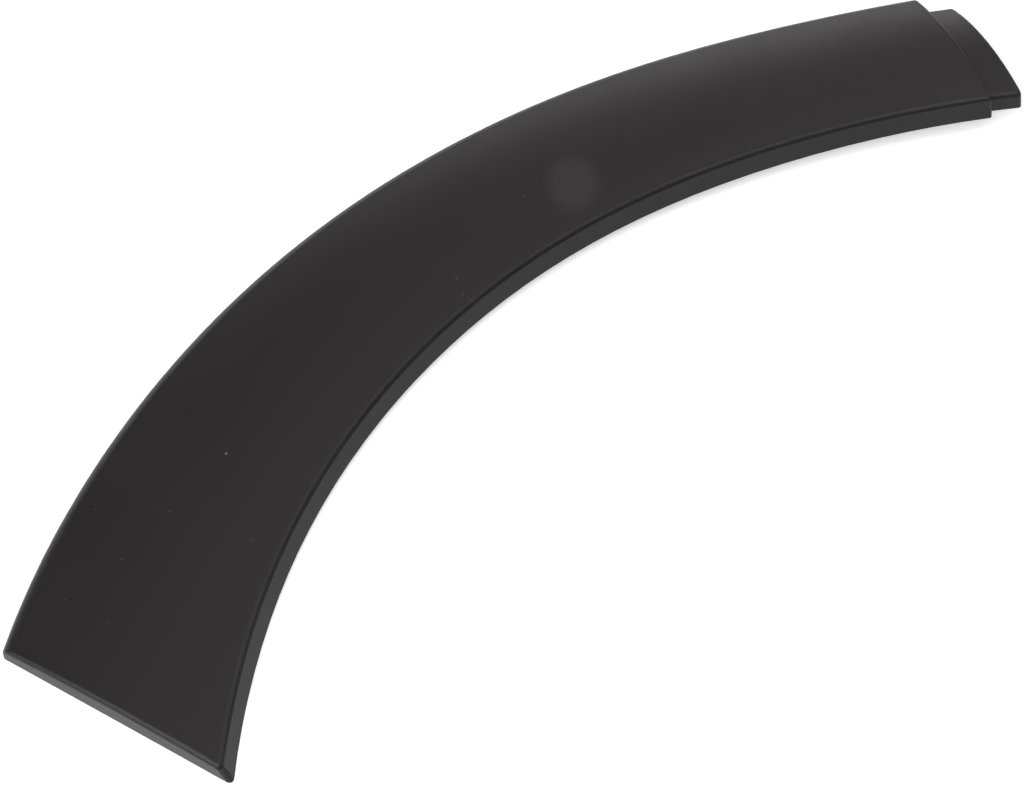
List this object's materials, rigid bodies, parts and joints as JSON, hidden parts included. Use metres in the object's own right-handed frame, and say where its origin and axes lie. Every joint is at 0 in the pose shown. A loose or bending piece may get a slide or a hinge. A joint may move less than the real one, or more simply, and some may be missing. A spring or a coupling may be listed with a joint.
{
  "type": "wheel arch trim",
  "caption": "Curved black plastic wheel arch trim, wide at its lower end, with a rolled wheel-side lip, an overlap tab at the upper end, and ribs and clip towers in its open back.",
  "frame": {"origin": "under the middle of the trim's box, on the plane of its outer rim, as it lies face up", "axes": "+X along the arch to the lap joint, +Y up the car's side, +Z out from the body"},
  "size_m": [0.4274, 0.3897, 0.021],
  "materials": {
    "trim_plastic": "satin black, fine moulded grain"
  },
  "bodies": {
    "root": {"arch_trim": "trim_plastic"}
  },
  "joints": []
}
